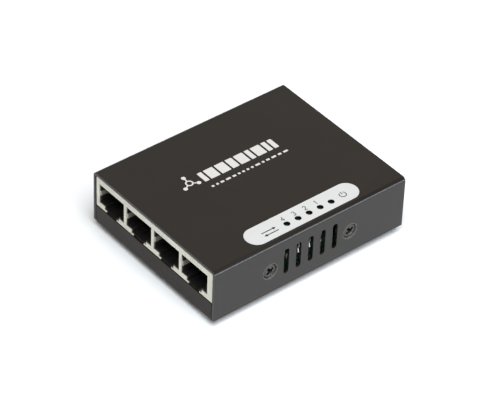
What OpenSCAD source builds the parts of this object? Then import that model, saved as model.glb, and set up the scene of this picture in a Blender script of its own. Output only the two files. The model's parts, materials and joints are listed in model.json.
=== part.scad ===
// Four-port desktop network switch: a folded steel box, one ganged socket block on the front,
// indicator lights along one side, a barrel power inlet at the back, and the board that joins them.
// Millimetres. +Z is up, the sockets face -Y, the indicator lights lie along +X.
// The origin is under the middle of the box, on the surface that the rubber feet stand on.

/* [Enclosure] */
// Width across the row of sockets
body_w = 61.2; // [61.2:0.2:64]
// Depth from the socket face to the rear panel
body_d = 76.4; // [76.4:0.2:80]
// Height of the steel box without its feet
body_h = 20.4; // [20.4:0.1:22]
// Thickness of the steel sheet
sheet = 1.0; // [0.8:0.1:1]
// Outer radius of the folds
bend_r = 1.4; // [1.2:0.1:1.6]
// How far the cover's sides stop above the underside of the base
skirt_gap = 1.2; // [0.8:0.1:1.6]
// Height of the base's lip under the sockets
lip_h = 7.5; // [7:0.1:7.6]
// Diameter of a rubber foot
foot_d = 8; // [6:0.5:10]
// Height of a rubber foot
foot_h = 1.6; // [1:0.1:3]

/* [Side openings and screws] */
// Number of vent slots in each side
vent_count = 5; // [3:1:5]
// Distance between vent slots
vent_pitch = 4.87; // [4.5:0.01:4.9]
// Width of a vent slot
vent_w = 2.05; // [1.5:0.05:2.4]
// Length of a vent slot
vent_len = 9.8; // [7:0.1:10]
// Distance between the two screws of a side
side_screw_pitch = 32.1; // [31.5:0.1:33]
// Head diameter of a side screw
side_screw_head_d = 5.5; // [5:0.1:5.8]

/* [Sockets] */
// Number of sockets in the block
port_count = 4; // [4:1:4]
// Distance between sockets
port_pitch = 13.97; // [13.97:0.01:14]
// Width of a socket's mouth
mouth_w = 12.8; // [12.4:0.1:12.9]
// Height of a socket's mouth
mouth_h = 7.6; // [7:0.1:7.7]
// Depth of the socket block
jack_depth = 17.6; // [17:0.1:17.6]

/* [Indicator lights] */
// Distance between indicator lights
led_pitch = 4.45; // [4.2:0.01:4.6]
// Width of the indicator label
label_w = 8; // [7:0.1:8.4]
// Length of the indicator label
label_len = 44.1; // [40:0.1:46]

/* [Power inlet] */
// Bore of the barrel inlet
inlet_bore_d = 6.3; // [6.2:0.1:6.4]
// Diameter of the inlet's centre pin
inlet_pin_d = 2; // [1.9:0.05:2.1]

/* [Hidden] */
$fn = 48;
eps = 0.01;
fit_gap = 0.05;

// box
front_y = -body_d / 2;
rear_y = body_d / 2;
inner_x = body_w / 2 - sheet;
flange_x = inner_x - 0.1;
flange_h = 5.5;
panel_half_w = inner_x - 0.3;
rear_panel_h = body_h - sheet - 0.2;
ear_w = 8;
ear_top = 14;
side_mid_y = -0.2;
vent_mid_z = 11;
side_screw_z = 9.9;
side_screw_y = [side_mid_y - side_screw_pitch / 2, side_mid_y + side_screw_pitch / 2];
screw_r = 1.45;
screw_hole_r = 1.5;
foot_xy = [22.5, 31];

// board
board_bottom = 5.8;
board_t = 1.6;
board_top = board_bottom + board_t;
board_half_w = 28.2;
board_front = front_y + 1.4;
board_rear = rear_y - 1.6;
post_x = 25;
post_y = [-12.5, 24];
post_r = 2.5;
tail_bottom = board_bottom - 0.8;

// socket block
face_y = front_y + 0.2;
jack_half_w = inner_x - 0.3;
jack_bottom = 7.7;
jack_top = body_h - sheet - 0.15;
mouth_bottom = 9.35;
mouth_top = mouth_bottom + mouth_h;
corner_r = 0.6;
row_x = -0.5;
port_x = [for (i = [0 : port_count - 1]) row_x + (i - (port_count - 1) / 2) * port_pitch];
frame_t = 0.35;
rim_w = 0.35;
cell_half_w = 6.55;
cell_bottom = 9.1;
cell_top = jack_top - 0.8;
rib_h = 1.9;
rib_mid_z = 13.1;
rib_half_w = 6;
insert_front = 12.9;
insert_rear = 16.5;
latch_half_w = [3.75, 2.65];
latch_step_z = 8.15;
peg_r = 1.5;
peg_depth = 10;

// contacts, as depth behind the face and height
wire_r = 0.2;
wire_count = 8;
wire_pitch = 1.016;
lead_z = cell_top - 0.45;
fold = [3.65, lead_z - 0.75];
knee = [10.6, 14.35];
tip = [12, 14.9];
fold_r = (lead_z - fold[1]) / 2;
tail_bend_r = 0.6;
tail_row = [13.5, 15.7];

// indicator lights
led_x = 25.5;
led_y = [for (i = [0 : 4]) 2.87 + (i - 2) * led_pitch];
led_r = 1.5;
led_base_z = body_h - 5.85;
led_leg_gap = 1.27;
led_leg_w = 0.45;
label_xy = [24.5, 0.8];
label_t = 0.15;
window_r = 1.1;

// power inlet
dc_x = -15;
dc_z = board_top + 6.5;
dc_front = rear_y - sheet - 0.2;
dc_block_d = 3.8;
dc_len = 14;
dc_half_w = 4.5;
dc_bore_len = 10;
dc_pin_len = 8.5;
leaf_hinge = [dc_front - 9.6, dc_z - 3.7];
leaf_half_w = 1.2;
// upper side of the leaf spring from its hinge to its free end: rise, bump, fall, flat tip
leaf_shape = [[0, 0], [3.2, 1], [4.4, 1.3], [5.2, 1.1], [6.8, -0.4], [7.6, -0.4]];

// Every piece above the feet is drawn at its height over the underside of the base.
module raised() {
  translate([0, 0, foot_h]) children();
}

// Extrudes an outline drawn in X-Z along Y, from y0 to y1.
module along_y(y0, y1) {
  translate([0, y1, 0]) rotate([90, 0, 0]) linear_extrude(height = y1 - y0) children();
}

// Extrudes an outline drawn in Y-Z along X, from x0 to x1.
module along_x(x0, x1) {
  translate([x0, 0, 0]) rotate([90, 0, 90]) linear_extrude(height = x1 - x0) children();
}

// Box between two corners.
module block(low, high) {
  translate(low) cube(high - low);
}

// Rectangle between two corners with its own radius at the two upper corners.
module arched_rect(low, high, r) {
  translate(low) square([high[0] - low[0], high[1] - low[1] - r]);
  translate([low[0] + r, low[1]]) square([high[0] - low[0] - 2 * r, high[1] - low[1]]);
  for (x = [low[0] + r, high[0] - r]) translate([x, high[1] - r]) circle(r);
}

// Rectangle centred on the origin with four round corners.
module round_rect(w, d, r) {
  square([w, d - 2 * r], center = true);
  square([w - 2 * r, d], center = true);
  for (x = [-1, 1], y = [-1, 1]) translate([x * (w / 2 - r), y * (d / 2 - r)]) circle(r);
}

// Slot with round ends, centred on the origin, long in its second direction.
module slot_shape(w, len) {
  square([w, len - w], center = true);
  for (s = [-1, 1]) translate([0, s * (len - w) / 2]) circle(w / 2);
}

// ---- Enclosure ----

// Countersink of a side screw, widest at the outer face of the cover.
module side_screw_sink() {
  head_r = side_screw_head_d / 2;
  for (s = [-1, 1], y = side_screw_y) {
    translate([s * body_w / 2, y, side_screw_z]) rotate([0, -s * 90, 0]) {
      translate([0, 0, -eps]) cylinder(h = 1.8, r1 = head_r + 0.35, r2 = head_r - 1.45);
      cylinder(h = 6, r = screw_hole_r);
    }
  }
}

module top_cover() {
  color("#3a3633") raised() difference() {
    along_y(front_y, rear_y) difference() {
      arched_rect([-body_w / 2, skirt_gap], [body_w / 2, body_h], bend_r);
      arched_rect([-inner_x, skirt_gap - 1], [inner_x, body_h - sheet], bend_r - sheet);
    }
    for (i = [0 : vent_count - 1]) {
      translate([0, side_mid_y + (i - (vent_count - 1) / 2) * vent_pitch, vent_mid_z])
        along_x(-body_w, body_w) slot_shape(vent_w, vent_len);
    }
    for (y = led_y) translate([led_x, y, body_h - sheet - 1]) cylinder(h = 3, r = window_r + 0.05);
    side_screw_sink();
  }
}

// Sheet folded up at both ends of the floor: the outline in Y-Z.
module lip_and_panel_shape() {
  difference() {
    union() {
      translate([front_y, 0]) mirror([0, 1]) translate([0, -lip_h])
        arched_rect([0, 0], [body_d, lip_h], bend_r);
      translate([rear_y - 2 * bend_r, bend_r]) square([2 * bend_r, rear_panel_h - bend_r]);
    }
    translate([front_y + sheet, sheet]) mirror([0, 1]) translate([0, -body_h])
      arched_rect([0, 0], [body_d - 2 * sheet, body_h], bend_r - sheet);
  }
}

// Sheet folded up at both sides of the floor: the outline in X-Z.
module side_flange_shape() {
  difference() {
    mirror([0, 1]) translate([0, -flange_h])
      arched_rect([-flange_x, 0], [flange_x, flange_h], bend_r);
    translate([0, sheet]) mirror([0, 1]) translate([0, -body_h])
      arched_rect([-flange_x + sheet, 0], [flange_x - sheet, body_h], bend_r - sheet);
  }
}

module base_chassis() {
  relief_y = rear_y - 2.3;
  color("#454443") raised() difference() {
    union() {
      difference() {
        along_x(-panel_half_w, panel_half_w) lip_and_panel_shape();
        for (s = [-1, 1]) block([s * (flange_x - bend_r) - (s < 0 ? 9 : 0), -relief_y, -1],
                                [s * (flange_x - bend_r) + (s > 0 ? 9 : 0), relief_y, body_h]);
      }
      along_y(-relief_y + 0.4, relief_y - 0.4) side_flange_shape();
      for (s = [-1, 1], y = side_screw_y) {
        translate([s * (flange_x - sheet / 2), y, 0]) along_x(-sheet / 2, sheet / 2)
          arched_rect([-ear_w / 2, flange_h - 1], [ear_w / 2, ear_top], 2);
      }
    }
    side_screw_sink();
    for (x = [-post_x, post_x], y = post_y) translate([x, y, -1]) cylinder(h = sheet + 2, r = post_r - 0.4);
    translate([dc_x, rear_y - sheet - 1, dc_z]) rotate([-90, 0, 0]) cylinder(h = sheet + 2, r = 4.2);
  }
}

// Cross recess of a screw head that looks along +Z, cut from z = 0 downwards.
module cross_recess(reach, w, depth) {
  for (a = [0, 90]) rotate([0, 0, a]) translate([0, 0, -depth / 2]) cube([reach, w, depth + eps], center = true);
}

module cover_screws() {
  head_r = side_screw_head_d / 2;
  color("silver") raised() for (s = [-1, 1], y = side_screw_y) {
    translate([s * (body_w / 2 - 0.1), y, side_screw_z]) rotate([0, s * 90, 0]) difference() {
      union() {
        translate([0, 0, -0.2]) cylinder(h = 0.2, r = head_r);
        translate([0, 0, -0.2 - head_r + screw_r]) cylinder(h = head_r - screw_r, r1 = screw_r, r2 = head_r);
        translate([0, 0, -4.4]) cylinder(h = 4, r = screw_r);
      }
      cross_recess(3.1, 0.85, 1.1);
    }
  }
}

module led_label() {
  color("whitesmoke") raised() difference() {
    translate([label_xy[0], label_xy[1], body_h]) linear_extrude(height = label_t) slot_shape(label_w, label_len);
    for (y = led_y) translate([led_x, y, body_h - 1]) cylinder(h = 2, r = window_r);
  }
}

module rating_label() {
  color("silver") raised() translate([0, 4, -0.1]) linear_extrude(height = 0.1) round_rect(34, 22, 1);
}

module rubber_feet() {
  edge_r = 0.5;
  color("#1c1c1c") for (x = [-foot_xy[0], foot_xy[0]], y = [-foot_xy[1], foot_xy[1]]) {
    translate([x, y, 0]) rotate_extrude() {
      translate([0, edge_r]) square([foot_d / 2, foot_h - edge_r]);
      square([foot_d / 2 - edge_r, foot_h]);
      translate([foot_d / 2 - edge_r, edge_r]) circle(edge_r);
    }
  }
}

// ---- Board and its fastenings ----

module board_standoffs() {
  color("goldenrod") raised() for (x = [-post_x, post_x], y = post_y) translate([x, y, 0]) difference() {
    union() {
      translate([0, 0, sheet]) cylinder(h = board_bottom - sheet, r = post_r);
      cylinder(h = sheet + 1, r = post_r - 0.45);
    }
    translate([0, 0, -1]) cylinder(h = board_bottom + 2, r = screw_hole_r);
  }
}

module board_screws() {
  head_r = 2.6;
  color("silver") raised() for (x = [-post_x, post_x], y = post_y) translate([x, y, board_top]) difference() {
    union() {
      rotate_extrude() {
        square([head_r, 1]);
        square([head_r - 0.7, 1.7]);
        translate([head_r - 0.7, 1]) circle(0.7);
      }
      translate([0, 0, -5]) cylinder(h = 6, r = screw_r);
    }
    translate([0, 0, 1.7]) cross_recess(3, 0.85, 1.1);
  }
}

module insulating_sheet() {
  sheet_t = 0.25;
  color("ghostwhite") raised() difference() {
    block([-27.6, board_front + 0.4, sheet], [27.6, board_rear, sheet + sheet_t]);
    for (x = [-post_x, post_x], y = post_y) translate([x, y, 0]) cylinder(h = 3, r = post_r + 0.3);
  }
}

// Centres of the holes that the sockets' tails need, for one port.
function tail_xy(port) = [
  for (i = [0 : wire_count - 1])
    [port_x[port] + (i - (wire_count - 1) / 2) * wire_pitch, face_y + tail_row[i % 2]]
];

module circuit_board() {
  color("#1f6b3a") raised() difference() {
    block([-board_half_w, board_front, board_bottom], [board_half_w, board_rear, board_top]);
    for (x = [-post_x, post_x], y = post_y) board_hole([x, y], screw_hole_r);
    for (port = [0 : port_count - 1], p = tail_xy(port)) board_hole(p, 0.4);
    for (x = peg_x()) board_hole([x, face_y + peg_depth], peg_r + fit_gap);
    for (y = led_y, s = [-1, 1]) board_hole([led_x + s * led_leg_gap / 2, y], 0.4);
    for (y = dc_blade_y()) block([dc_x - 1.5, y - 0.5, board_bottom - 1], [dc_x + 1.5, y + 0.5, board_top + 1]);
  }
}

module board_hole(xy, r) {
  translate([xy[0], xy[1], board_bottom - 1]) cylinder(h = board_t + 2, r = r);
}

// ---- Socket block ----

// The two locating pegs stand under the walls beside the outer sockets.
function peg_x() = [row_x - port_pitch, row_x + port_pitch];

// Outline of a socket's mouth with the stepped latch notch below it, in X-Z about the port's middle.
module mouth_shape() {
  translate([-mouth_w / 2, mouth_bottom]) square([mouth_w, mouth_h]);
  translate([-latch_half_w[0], latch_step_z]) square([2 * latch_half_w[0], mouth_h]);
  translate([-latch_half_w[1], jack_bottom - 1]) square([2 * latch_half_w[1], mouth_h]);
}

// Hollow of one socket behind the front frame, open to the rear and, for the latch, to the bottom.
module cell_hollow() {
  rib_z = [rib_mid_z - rib_h / 2, rib_mid_z + rib_h / 2];
  rib_x = [rib_half_w, cell_half_w + 0.1];
  open_y = face_y + jack_depth + 1;
  difference() {
    block([-cell_half_w, face_y + frame_t, cell_bottom], [cell_half_w, open_y, cell_top]);
    for (s = [0, 1]) mirror([s, 0, 0]) {
      block([rib_x[0], face_y, rib_z[0]], [rib_x[1], face_y + insert_front - 0.5, rib_z[1]]);
    }
  }
  block([-latch_half_w[0] - 0.5, face_y + frame_t, jack_bottom - 1], [latch_half_w[0] + 0.5, open_y, cell_bottom + 1]);
  block([-cell_half_w, face_y + insert_front, jack_bottom - 1], [cell_half_w, open_y, cell_bottom + 1]);
}

module jack_housing() {
  body_rear = face_y + jack_depth - 1;
  color("#d6d6c8") raised() {
    difference() {
      along_y(face_y, body_rear) arched_rect([-jack_half_w, jack_bottom], [jack_half_w, jack_top], corner_r);
      for (x = port_x) translate([x, 0, 0]) {
        along_y(face_y - 1, face_y + frame_t + eps) mouth_shape();
        cell_hollow();
      }
    }
    for (x = peg_x()) translate([x, face_y + peg_depth, 0]) {
      translate([0, 0, board_bottom - 0.6]) cylinder(h = jack_bottom - board_bottom + 1, r = peg_r);
    }
  }
}

module jack_rear_plate() {
  y0 = face_y + jack_depth - 1 + fit_gap;
  color("#24242a") raised() along_y(y0, y0 + 0.9)
    arched_rect([-jack_half_w, jack_bottom], [jack_half_w, jack_top - 0.2], corner_r);
}

// Dark insert that lines one socket and holds its eight wires. Its front edge shows as a rim inside
// the mouth and follows the latch notch.
module contact_carrier(port) {
  g = fit_gap;
  front = face_y + frame_t + g;
  mid = face_y + insert_front;
  rear = face_y + insert_rear;
  out_x = cell_half_w - g;
  rib_z = [rib_mid_z - rib_h / 2 - g, rib_mid_z + rib_h / 2 + g];
  floor_z = mouth_bottom + rim_w;
  notch_x = [latch_half_w[0] - rim_w, latch_half_w[1] - rim_w];
  notch_out_x = latch_half_w[0] + 0.5 - g;
  ceiling = mouth_top + 0.1;
  color("#1b1b1d") raised() translate([port_x[port], 0, 0]) difference() {
    union() {
      block([-out_x, mid, jack_bottom + g], [out_x, rear, cell_top - g]);
      block([-out_x, face_y + 2, ceiling], [out_x, mid + 1, cell_top - g]);
      for (s = [-1, 1]) mirror([s < 0 ? 1 : 0, 0, 0]) {
        block([rib_half_w, front, cell_bottom + g], [out_x, mid + 1, rib_z[0]]);
        block([rib_half_w, front, rib_z[1]], [out_x, mid + 1, cell_top - g]);
        block([notch_x[0], front, cell_bottom + g], [out_x, mid + 1, floor_z]);
        block([notch_x[0], front, jack_bottom + g], [notch_out_x, mid + 1, floor_z]);
        block([notch_x[1], front, jack_bottom + g], [notch_out_x, mid + 1, latch_step_z + rim_w]);
      }
      block([-notch_out_x, front, jack_bottom + g], [notch_out_x, mid + 1, jack_bottom + 0.35]);
      for (i = [0 : wire_count]) {
        x = (i - wire_count / 2) * wire_pitch;
        block([x - 0.18, face_y + tip[0] - 0.6, tip[1] - 1.1], [x + 0.18, mid + 1, ceiling + 0.5]);
      }
    }
    for (i = [0 : wire_count - 1]) {
      x = (i - (wire_count - 1) / 2) * wire_pitch;
      row_y = face_y + tail_row[i % 2];
      block([x - 0.32, face_y + 2.4, ceiling - 1], [x + 0.32, mid, cell_top + 1]);
      block([x - 0.32, mid - 1, lead_z - tail_bend_r - 0.2], [x + 0.32, row_y + 0.32, cell_top + 1]);
      translate([x, row_y, 0]) cylinder(h = cell_top, r = 0.3);
    }
  }
}

// Places children at each wire of a port, in the plane of depth behind the face and height.
module each_wire(port) {
  for (i = [0 : wire_count - 1]) {
    translate([port_x[port] + (i - (wire_count - 1) / 2) * wire_pitch, face_y, 0]) {
      $wire_row = i % 2;
      children();
    }
  }
}

// Straight round wire from one [depth, height] point to another.
module wire(a, b) {
  run = b - a;
  translate([0, a[0], a[1]]) rotate([atan2(run[1], run[0]) - 90, 0, 0]) cylinder(h = norm(run), r = wire_r);
}

module wire_ball(a) {
  translate([0, a[0], a[1]]) sphere(wire_r);
}

// Fixed part of a port's eight wires: the turn at the front, the run along the ceiling and the tail to the board.
module contact_leads(port) {
  front = fold[0] - 0.45;
  color("gold") raised() each_wire(port) {
    depth = tail_row[$wire_row];
    translate([0, front, lead_z - fold_r]) rotate([0, -90, 0]) rotate([0, 0, -180])
      rotate_extrude(angle = 180) translate([fold_r, 0]) circle(wire_r);
    wire([front, lead_z], [depth - tail_bend_r, lead_z]);
    translate([0, depth - tail_bend_r, lead_z - tail_bend_r]) rotate([0, -90, 0])
      rotate_extrude(angle = 90) translate([tail_bend_r, 0]) circle(wire_r);
    wire([depth, tail_bottom], [depth, lead_z - tail_bend_r]);
  }
}

// Moving part of a port's eight wires: they swing about the fold as a plug pushes them up.
module contact_springs(port) {
  color("gold") raised() each_wire(port) {
    wire_ball(fold);
    wire(fold, knee);
    wire_ball(knee);
    wire(knee, tip);
    wire_ball(tip);
  }
}

// ---- Indicator lights ----

module indicator_led(index, tint) {
  color(tint) raised() translate([led_x, led_y[index], led_base_z]) rotate_extrude() {
    square([led_r + 0.4, 1]);
    square([led_r, 3.8]);
    intersection() {
      translate([0, 3.8]) circle(led_r);
      square([2 * led_r, 8]);
    }
  }
}

module led_leads() {
  color("silver") raised() for (y = led_y, s = [-1, 1]) {
    translate([led_x + s * led_leg_gap / 2, y, 0])
      block([-led_leg_w / 2, -led_leg_w / 2, tail_bottom], [led_leg_w / 2, led_leg_w / 2, led_base_z]);
  }
}

// ---- Power inlet ----

// Distance from the rear edge at which the inlet's three blades go through the board.
function dc_blade_y() = [dc_front - dc_len + 0.3, leaf_hinge[0] - 0.9, dc_front - 1.4];

module dc_jack_housing() {
  back = dc_front - dc_len;
  color("#1e1e20") raised() translate([dc_x, 0, 0]) difference() {
    union() {
      block([-dc_half_w, dc_front - dc_block_d, board_top + fit_gap], [dc_half_w, dc_front, dc_z + 4.5]);
      block([-dc_half_w + 0.4, back + 0.6, board_top + fit_gap], [dc_half_w - 0.4, dc_front - 1, dc_z]);
      translate([0, back + 0.6, dc_z]) rotate([-90, 0, 0]) cylinder(h = dc_len - 1, r = dc_half_w - 0.4);
    }
    translate([0, dc_front - dc_bore_len, dc_z]) rotate([-90, 0, 0]) cylinder(h = dc_bore_len + 1, r = inlet_bore_d / 2);
    translate([0, back, dc_z]) rotate([-90, 0, 0]) cylinder(h = dc_len, r = 1.25);
    block([-leaf_half_w - 0.4, leaf_hinge[0] - 1.4, board_top - 1], [leaf_half_w + 0.4, dc_front - 1, dc_z]);
  }
}

module dc_jack_pin() {
  pin_r = inlet_pin_d / 2;
  back = dc_front - dc_len;
  color("silver") raised() translate([dc_x, 0, 0]) {
    translate([0, back + 0.3, dc_z]) rotate([-90, 0, 0]) {
      cylinder(h = dc_len - dc_pin_len - pin_r - 0.3, r = pin_r + 0.2);
      cylinder(h = dc_len - pin_r - 0.3, r = pin_r);
      translate([0, 0, dc_len - pin_r - 0.3]) intersection() {
        sphere(pin_r);
        translate([-2, -2, 0]) cube(4);
      }
    }
    block([-1.2, back + 0.15, tail_bottom], [1.2, back + 0.45, dc_z + 1.4]);
  }
}

// Strip through a list of [y, z] points.
module leaf_strip(points, t) {
  along_x(-leaf_half_w, leaf_half_w)
    polygon(concat(points, [for (i = [len(points) - 1 : -1 : 0]) points[i] - [0, t]]));
}

module dc_jack_spring() {
  color("silver") raised() translate([dc_x, 0, 0])
    leaf_strip([for (p = leaf_shape) leaf_hinge + p], 0.25);
}

module dc_jack_sleeve_terminal() {
  y = leaf_hinge[0];
  z = leaf_hinge[1];
  color("silver") raised() translate([dc_x, 0, 0]) {
    block([-leaf_half_w, y - 1.05, tail_bottom], [leaf_half_w, y - 0.75, z]);
    block([-leaf_half_w, y - 1.05, z - 0.25], [leaf_half_w, y - 0.1, z]);
  }
}

module dc_jack_shunt_contact() {
  y = dc_blade_y()[2];
  z = leaf_hinge[1] - 0.2;
  color("silver") raised() translate([dc_x, 0, 0]) {
    block([-leaf_half_w, y - 0.15, tail_bottom], [leaf_half_w, y + 0.15, z + 0.25]);
    block([-leaf_half_w, y - 1.2, z], [leaf_half_w, y + 0.15, z + 0.25]);
  }
}

// ---- Chips and other board parts ----

transformer_xy = [[-11.5, -10.5], [11.5, -10.5]];
transformer_size = [17.5, 9, 5.8];
transformer_lead_count = 12;
chip_xy = [2, 8];
chip_w = 10;
chip_lead_count = 16;
chip_lead_pitch = 0.5;
memory_xy = [15.5, 8];
regulator_xy = [-2, 27];

// Moulded chip body with a shallow bevel above the seam.
module chip_body(xy, w, d, h) {
  translate([xy[0], xy[1], board_top + 0.1]) {
    translate([-w / 2, -d / 2, 0]) cube([w, d, h * 0.6]);
    translate([-w / 2 + 0.15, -d / 2 + 0.15, 0]) cube([w - 0.3, d - 0.3, h]);
  }
}

// Bent leads in a row of n along X, reaching out towards +Y from the face at distance from.
module lead_row(n, pitch, from, reach, lead_w, rise) {
  t = 0.15;
  for (i = [0 : n - 1]) {
    translate([(i - (n - 1) / 2) * pitch - lead_w / 2, 0, board_top]) {
      along_x(0, lead_w) polygon([
        [from, rise], [from + reach * 0.4 + t, rise], [from + reach * 0.5 + t, t], [from + reach, t],
        [from + reach, 0], [from + reach * 0.5, 0], [from + reach * 0.4, rise - t], [from, rise - t]
      ]);
    }
  }
}

module lan_transformer(index) {
  size = transformer_size;
  color("#18181a") raised() chip_body(transformer_xy[index], size[0], size[1], size[2]);
}

module lan_transformer_leads() {
  color("silver") raised() for (p = transformer_xy, s = [0, 180]) {
    translate([p[0], p[1], 0]) rotate([0, 0, s])
      lead_row(transformer_lead_count, 1.27, transformer_size[1] / 2, 1.6, 0.45, 1.4);
  }
}

module switch_chip() {
  color("#161618") raised() chip_body(chip_xy, chip_w, chip_w, 1.4);
}

module switch_chip_leads() {
  color("silver") raised() for (s = [0 : 90 : 270]) {
    translate([chip_xy[0], chip_xy[1], 0]) rotate([0, 0, s])
      lead_row(chip_lead_count, chip_lead_pitch, chip_w / 2, 1, 0.22, 0.8);
  }
}

module crystal() {
  color("silver") raised() translate([-12, 8, board_top]) {
    linear_extrude(height = 0.5) rotate([0, 0, 90]) slot_shape(4.8, 11.2);
    linear_extrude(height = 3.5) rotate([0, 0, 90]) slot_shape(3.9, 10.3);
  }
}

module config_memory() {
  color("#161618") raised() chip_body(memory_xy, 4.9, 3.9, 1.5);
}

module voltage_regulator() {
  color("#161618") raised() chip_body(regulator_xy, 4.9, 3.9, 1.5);
}

module small_chip_leads() {
  color("silver") raised() for (p = [memory_xy, regulator_xy], s = [0, 180]) {
    translate([p[0], p[1], 0]) rotate([0, 0, s]) lead_row(4, 1.27, 1.95, 1.1, 0.42, 0.8);
  }
}

module power_inductor() {
  color("#4a4a4c") raised() translate([7.5, 27, board_top]) difference() {
    linear_extrude(height = 3.2) round_rect(7, 7, 1.2);
    translate([0, 0, 2.9]) difference() {
      cylinder(h = 1, r = 2.9);
      translate([0, 0, -1]) cylinder(h = 3, r = 2.2);
    }
  }
}

// Aluminium can capacitor with a groove above its base.
module can_capacitor(xy, r, h) {
  translate([xy[0], xy[1], board_top]) rotate_extrude() difference() {
    square([r, h]);
    translate([r + 0.3, 1.6]) circle(0.55);
  }
}

module input_capacitor() {
  color("#2c3550") raised() can_capacitor([-5, 19], 3.15, 8);
}

module output_capacitor() {
  color("#2c3550") raised() can_capacitor([15.5, 26.5], 2.5, 7);
}

module protection_diode() {
  color("#161618") raised() chip_body([-15, 18.5], 4.3, 2.6, 2);
}

// Small two-ended parts in a row along X.
module chip_row(start, n, pitch, size) {
  for (i = [0 : n - 1]) translate([start[0] + i * pitch, start[1], board_top]) {
    translate([-size[0] / 2, -size[1] / 2, 0]) cube(size);
  }
}

module chip_resistors() {
  color("#202024") raised() {
    chip_row([-18, -2.2], 14, 2.6, [0.8, 1.6, 0.45]);
    for (y = led_y) chip_row([21.5, y], 1, 1, [1.6, 0.8, 0.45]);
  }
}

module chip_capacitors() {
  color("#b49a76") raised() {
    chip_row([-19.5, 8], 1, 2, [0.8, 1.6, 0.8]);
    chip_row([-4, 14.8], 5, 3, [0.8, 1.6, 0.8]);
    chip_row([8.5, 20.5], 4, 2.6, [1.25, 2, 1.1]);
  }
}

top_cover();
base_chassis();
cover_screws();
led_label();
rating_label();
rubber_feet();
board_standoffs();
board_screws();
insulating_sheet();
circuit_board();
jack_housing();
jack_rear_plate();
contact_carrier(0);  // contact_carrier_1
contact_carrier(1);  // contact_carrier_2
contact_carrier(2);  // contact_carrier_3
contact_carrier(3);  // contact_carrier_4
contact_leads(0);  // contact_leads_1
contact_leads(1);  // contact_leads_2
contact_leads(2);  // contact_leads_3
contact_leads(3);  // contact_leads_4
contact_springs(0);  // contact_springs_1
contact_springs(1);  // contact_springs_2
contact_springs(2);  // contact_springs_3
contact_springs(3);  // contact_springs_4
indicator_led(3, "#7f9a76");  // link_led_1
indicator_led(2, "#7f9a76");  // link_led_2
indicator_led(1, "#7f9a76");  // link_led_3
indicator_led(0, "#7f9a76");  // link_led_4
indicator_led(4, "#9a7f76");  // power_led
led_leads();
dc_jack_housing();
dc_jack_pin();
dc_jack_spring();
dc_jack_sleeve_terminal();
dc_jack_shunt_contact();
lan_transformer(0);  // lan_transformer_1
lan_transformer(1);  // lan_transformer_2
lan_transformer_leads();
switch_chip();
switch_chip_leads();
crystal();
config_memory();
voltage_regulator();
small_chip_leads();
power_inductor();
input_capacitor();
output_capacitor();
protection_diode();
chip_resistors();
chip_capacitors();
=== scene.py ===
import json
import math
import random

import bmesh
import bpy
from mathutils import Matrix, Vector


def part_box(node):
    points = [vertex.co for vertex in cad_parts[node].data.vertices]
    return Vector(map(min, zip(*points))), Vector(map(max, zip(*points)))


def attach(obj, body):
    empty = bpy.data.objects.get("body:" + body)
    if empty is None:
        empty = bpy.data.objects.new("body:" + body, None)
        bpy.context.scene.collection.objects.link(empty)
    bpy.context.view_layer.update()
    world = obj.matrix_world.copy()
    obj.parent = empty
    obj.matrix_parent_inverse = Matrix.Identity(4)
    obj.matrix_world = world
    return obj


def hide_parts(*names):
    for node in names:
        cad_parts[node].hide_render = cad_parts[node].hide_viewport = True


# Desktop network switch: finer shapes, finishes, prints and light for the CAD model.

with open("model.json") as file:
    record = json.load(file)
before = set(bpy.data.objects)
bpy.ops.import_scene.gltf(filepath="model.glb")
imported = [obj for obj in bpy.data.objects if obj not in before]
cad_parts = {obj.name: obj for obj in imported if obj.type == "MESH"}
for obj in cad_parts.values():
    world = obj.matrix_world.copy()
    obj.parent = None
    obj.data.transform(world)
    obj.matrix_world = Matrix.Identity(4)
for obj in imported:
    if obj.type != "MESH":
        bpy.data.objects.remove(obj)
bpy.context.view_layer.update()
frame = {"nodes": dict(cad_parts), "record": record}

# Lengths are in millimetres while a piece is built, and become metres when it is finished.
MM = 0.001
BODY = "switch_box"


def box_mm(node):
    """Lowest and highest corner of a CAD node, in millimetres."""
    low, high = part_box(node)
    return low / MM, high / MM


# ---------------------------------------------------------------- driving sizes

cover_low, cover_high = box_mm("top_cover")
base_low, _ = box_mm("base_chassis")
board_low, board_high = box_mm("circuit_board")
label_low, label_high = box_mm("led_label")
HALF_W = cover_high.x
FRONT = cover_low.y
REAR = cover_high.y
TOP = cover_high.z
SKIRT = cover_low.z
UNDER = base_low.z
SHEET = 1.0
FOLD_R = 1.4
INNER_X = HALF_W - SHEET
INK = 0.012
LABEL_TOP = label_high.z - INK - 0.003

SIDE_MID = -0.2
VENT_PITCH = 4.87
VENT_Y = [SIDE_MID + (i - 2) * VENT_PITCH for i in range(5)]
VENT_W, VENT_LEN, VENT_Z = 1.95, 9.8, UNDER + 11
SCREW_REACH = 16.05
SCREW_Y = [SIDE_MID - SCREW_REACH, SIDE_MID + SCREW_REACH]
SCREW_Z = UNDER + 9.9
SINK_R = 2.75
SCREW_HEAD_R = SINK_R - 0.33

LED_X = 25.5
LED_MID, LED_PITCH = 2.87, 4.45
LED_Y = [LED_MID + (i - 2) * LED_PITCH for i in range(5)]
LEG_GAP = 1.27
WINDOW_R = 1.1

SOCKET_FACE = FRONT + 0.2
DC_X, DC_Z = -15.0, UNDER + 13.9


# ---------------------------------------------------------------- shader building


def node(tree, kind, inputs=None, **settings):
    """Adds a node, sets its properties, and links or sets its inputs."""
    made = tree.nodes.new(kind)
    for key, value in settings.items():
        setattr(made, key, value)
    for key, value in (inputs or {}).items():
        socket = made.inputs[key]
        if isinstance(value, bpy.types.NodeSocket):
            tree.links.new(value, socket)
        else:
            socket.default_value = value
    return made


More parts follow.
